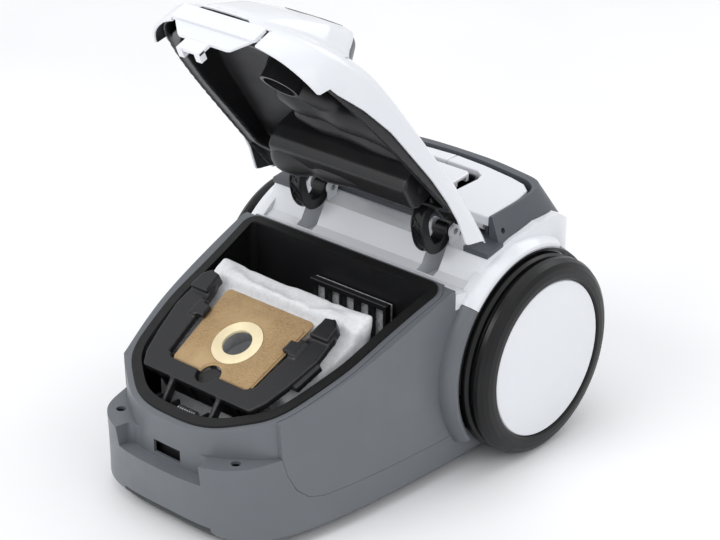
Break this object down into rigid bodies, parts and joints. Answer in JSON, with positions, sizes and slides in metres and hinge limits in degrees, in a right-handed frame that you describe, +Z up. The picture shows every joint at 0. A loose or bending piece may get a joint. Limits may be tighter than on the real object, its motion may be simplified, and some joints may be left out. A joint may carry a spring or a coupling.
{
  "type": "canister vacuum cleaner",
  "caption": "Low canister vacuum cleaner on two large wheels, standing with its lid open over a plated dust bag.",
  "frame": {"origin": "on the floor under the middle of the whole cleaner as it stands with its lid open", "axes": "+Z up, +Y towards the rear where the cord leaves, -Y towards the nose, X along the big wheels' axle"},
  "size_m": [0.323, 0.4212, 0.4279],
  "materials": {
    "body_grey": "satin grey ABS",
    "white_gloss": "glossy white ABS",
    "deck_grey": "dark grey satin ABS",
    "black_satin": "black satin plastic",
    "black_rubber": "soft black rubber",
    "grip_rubber": "dark grey soft grip",
    "tyre_black": "black wheel tread",
    "steel": "plain steel",
    "copper_pack": "laminated stator and armature",
    "foam": "open filter foam",
    "pleats": "pleated filter paper",
    "card": "pressed brown card",
    "cream_rubber": "soft cream lip",
    "fleece": "white non-woven fleece",
    "board": "circuit board with parts"
  },
  "bodies": {
    "casing": {"base_shell": "body_grey", "side_panel_left": "body_grey", "side_panel_right": "body_grey", "rear_housing": "white_gloss", "top_trim": "deck_grey", "dust_chamber": "black_satin", "holder_bracket": "black_satin", "recess_tray": "black_satin", "wheel_arch_left": "black_satin", "wheel_arch_right": "black_satin", "motor_bracket": "black_satin", "reel_bracket": "black_satin", "power_switch": "black_satin", "cord_outlet": "black_satin", "chamber_seal": "black_rubber", "motor_seal": "black_rubber", "motor_rear_mount": "black_rubber", "front_grip": "grip_rubber", "hinge_pins": "steel", "deck_axle": "steel", "wheel_axles": "steel", "holder_pin": "steel", "holder_spring": "steel", "screws": "steel", "fan_housing": "steel", "motor_body": "copper_pack", "circuit_board": "board"},
    "lid": {"lid_shell": "white_gloss", "lid_liner": "black_satin", "inlet_nozzle": "black_satin", "hose_collar": "deck_grey", "hinge_arms": "black_satin", "latch_pin": "steel"},
    "latch": {"latch_button": "white_gloss"},
    "holder": {"bag_holder": "black_satin"},
    "bag": {"bag_plate": "card", "bag_ring": "cream_rubber", "bag_body": "fleece", "bag_neck": "fleece"},
    "filter_cassette": {"grille_frame": "black_satin", "motor_filter": "foam"},
    "exhaust_cassette": {"exhaust_frame": "black_satin", "exhaust_filter": "pleats", "exhaust_door": "black_satin"},
    "pedal_l": {"pedal_left": "white_gloss"},
    "pedal_r": {"pedal_right": "white_gloss"},
    "handle": {"carry_handle": "white_gloss"},
    "wheel_l": {"wheel_tyre_left": "tyre_black", "wheel_disc_left": "white_gloss", "wheel_core_left": "black_satin"},
    "wheel_r": {"wheel_tyre_right": "tyre_black", "wheel_disc_right": "white_gloss", "wheel_core_right": "black_satin"},
    "caster": {"caster_fork": "black_satin", "caster_axle": "steel"},
    "caster_roller": {"caster_wheel": "black_rubber"},
    "rotor": {"motor_rotor": "copper_pack"},
    "reel": {"cord_reel": "black_satin"}
  },
  "joints": [
    {"name": "lid_hinge", "type": "hinge", "parent": "casing", "child": "lid", "pos_m": [0, 0.0716, 0.202], "axis": [1, 0, 0], "range_deg": [0, 68]},
    {"name": "latch_pivot", "type": "hinge", "parent": "lid", "child": "latch", "pos_m": [0, -0.11451, 0.41305], "axis": [-1, 0, 0], "range_deg": [0, 8], "stiffness_Nm_per_rad": 0.6, "springref_deg": -2.86},
    {"name": "holder_hinge", "type": "hinge", "parent": "casing", "child": "holder", "pos_m": [0, -0.1724, 0.094], "axis": [-1, 0, 0], "range_deg": [-35, 0]},
    {"name": "bag_slide", "type": "slide", "parent": "holder", "child": "bag", "axis": [0, -0.9018, -0.4321], "range_m": [-0.03, 0]},
    {"name": "filter_lift", "type": "slide", "parent": "casing", "child": "filter_cassette", "axis": [0, 0, -1], "range_m": [-0.045, 0]},
    {"name": "exhaust_pull", "type": "slide", "parent": "casing", "child": "exhaust_cassette", "axis": [0, 1, 0], "range_m": [0, 0.06]},
    {"name": "pedal_l_pivot", "type": "hinge", "parent": "casing", "child": "pedal_l", "pos_m": [0, 0.0936, 0.2054], "axis": [-1, 0, 0], "range_deg": [0, 4], "stiffness_Nm_per_rad": 6, "springref_deg": -1.72},
    {"name": "pedal_r_pivot", "type": "hinge", "parent": "casing", "child": "pedal_r", "pos_m": [0, 0.0936, 0.2054], "axis": [-1, 0, 0], "range_deg": [0, 4], "stiffness_Nm_per_rad": 6, "springref_deg": -1.72},
    {"name": "handle_pivot", "type": "hinge", "parent": "casing", "child": "handle", "pos_m": [0, 0.0936, 0.2054], "axis": [1, 0, 0], "range_deg": [0, 80]},
    {"name": "wheel_l_spin", "type": "hinge", "parent": "casing", "child": "wheel_l", "pos_m": [0, 0.1096, 0.09], "axis": [1, 0, 0], "continuous": true},
    {"name": "wheel_r_spin", "type": "hinge", "parent": "casing", "child": "wheel_r", "pos_m": [0, 0.1096, 0.09], "axis": [1, 0, 0], "continuous": true},
    {"name": "caster_swivel", "type": "hinge", "parent": "casing", "child": "caster", "pos_m": [0, -0.1524, 0.03], "axis": [0, 0, 1], "continuous": true},
    {"name": "caster_spin", "type": "hinge", "parent": "caster", "child": "caster_roller", "pos_m": [0, -0.1444, 0.015], "axis": [1, 0, 0], "continuous": true},
    {"name": "rotor_spin", "type": "hinge", "parent": "casing", "child": "rotor", "pos_m": [-0.052, 0.1096, 0.098], "axis": [0, 1, 0], "continuous": true},
    {"name": "reel_spin", "type": "hinge", "parent": "casing", "child": "reel", "pos_m": [0.058, 0.1176, 0.1], "axis": [1, 0, 0], "continuous": true}
  ]
}
